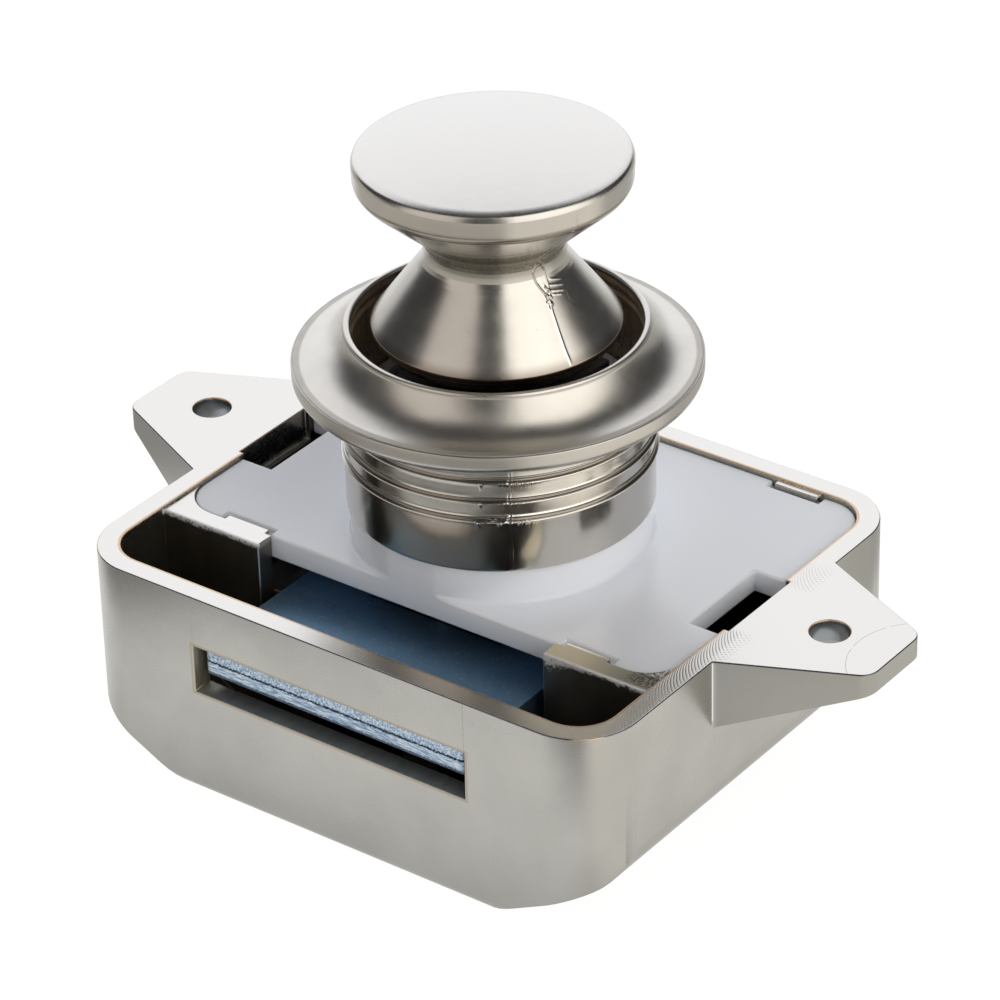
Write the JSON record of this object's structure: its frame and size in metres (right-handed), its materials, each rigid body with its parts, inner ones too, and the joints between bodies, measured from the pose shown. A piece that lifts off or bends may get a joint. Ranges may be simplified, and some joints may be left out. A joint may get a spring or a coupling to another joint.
{
  "type": "push button cabinet lock",
  "caption": "Push button cabinet lock: a boxed casing with two screw ears, a sliding bolt, a push-push knob and a round rosette that clamps the door board.",
  "frame": {"origin": "knob's axis on the rim plane that the door's back face rests on", "axes": "+Z out through the door to the knob, -Y the way the bolt comes out, +X to the right"},
  "size_m": [0.0772, 0.0451, 0.0551],
  "materials": {
    "nickel_casing": "bright satin nickel plate on a zinc die casting",
    "white_plastic": "glossy moulded white plastic",
    "nickel_rosette": "satin nickel plate on a zinc die casting",
    "nickel_knob": "pearl satin nickel plate on a zinc die casting",
    "dark_plastic": "moulded acetal",
    "screw_steel": "bright zinc-plated steel",
    "spring_steel": "drawn spring wire",
    "blue_zinc": "blue-passivated zinc plate on stamped steel",
    "sheet_steel": "zinc-plated sheet steel"
  },
  "bodies": {
    "lock_body": {"casing": "nickel_casing", "cover_plate": "white_plastic", "main_spring": "spring_steel"},
    "rosette": {"rosette": "nickel_rosette"},
    "push_knob": {"knob": "nickel_knob", "plunger": "dark_plastic", "knob_screw": "screw_steel", "spring_washer": "screw_steel"},
    "bolt": {"bolt_plate": "blue_zinc", "drive_brackets": "sheet_steel", "bracket_rivets": "screw_steel", "drive_pins": "screw_steel"},
    "follower": {"cam_follower": "spring_steel"}
  },
  "joints": [
    {"name": "knob_push", "type": "slide", "parent": "lock_body", "child": "push_knob", "axis": [0, 0, -1], "range_m": [0, 0.0135], "stiffness_N_per_m": 400, "springref_m": -0.012, "deforming": ["main_spring"]},
    {"name": "bolt_slide", "type": "slide", "parent": "lock_body", "child": "bolt", "axis": [0, -1, 0], "range_m": [0, 0.0085]},
    {"name": "follower_swing", "type": "hinge", "parent": "lock_body", "child": "follower", "pos_m": [0, -0.0085, -0.016], "axis": [0, 1, 0], "range_deg": [0, 6.4]},
    {"name": "rosette_lift", "type": "slide", "parent": "lock_body", "child": "rosette", "axis": [0, 0, 1], "range_m": [0, 0.04]}
  ],
  "couplings": [
    {"joint": "bolt_slide", "follows": "knob_push", "ratio": 0.6296},
    {"joint": "follower_swing", "follows": "knob_push", "rad_per_m": 8.189}
  ]
}
